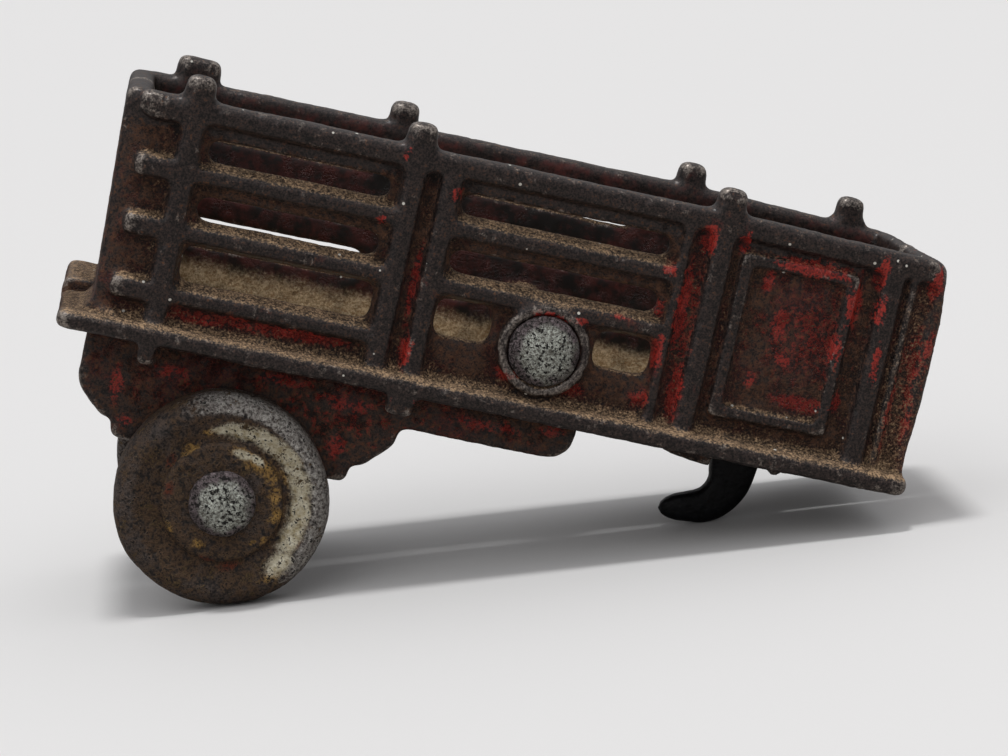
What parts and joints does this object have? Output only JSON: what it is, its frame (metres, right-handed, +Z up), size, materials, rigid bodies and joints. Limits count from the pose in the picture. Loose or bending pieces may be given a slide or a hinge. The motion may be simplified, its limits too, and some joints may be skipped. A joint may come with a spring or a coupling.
{
  "type": "toy stake semi-trailer",
  "caption": "Cast iron toy stake semi-trailer with slatted sides, turning wheels on a through axle and a rear-facing coupling hook under its front.",
  "frame": {"origin": "on the surface it rests on, under the middle of its bounding box", "axes": "+X towards the trailer's front, +Z up; the trailer rests nose down by 17.9 degrees on two wheels and its hook"},
  "size_m": [0.0924, 0.0346, 0.0554],
  "materials": {
    "worn_red_iron": "worn red paint over dark cast iron, dusty",
    "rivet_steel": "bright steel with dark pits",
    "black_iron": "black, smooth",
    "wheel_iron": "bare worn iron with traces of cream paint and rust"
  },
  "bodies": {
    "trailer_body": {"body_half_right": "worn_red_iron", "body_half_left": "worn_red_iron", "body_rivet": "rivet_steel", "coupling_hook": "black_iron"},
    "axle_shaft": {"axle": "rivet_steel"},
    "right_wheel": {"wheel_right": "wheel_iron"},
    "left_wheel": {"wheel_left": "wheel_iron"}
  },
  "joints": [
    {"name": "axle_spin", "type": "hinge", "parent": "trailer_body", "child": "axle_shaft", "pos_m": [-0.03158, 0, 0.0113], "axis": [0, 1, 0], "continuous": true},
    {"name": "wheel_right_spin", "type": "hinge", "parent": "axle_shaft", "child": "right_wheel", "pos_m": [-0.03158, -0.0129, 0.0113], "axis": [0, 1, 0], "continuous": true},
    {"name": "wheel_left_spin", "type": "hinge", "parent": "axle_shaft", "child": "left_wheel", "pos_m": [-0.03158, 0.0129, 0.0113], "axis": [0, 1, 0], "continuous": true}
  ]
}
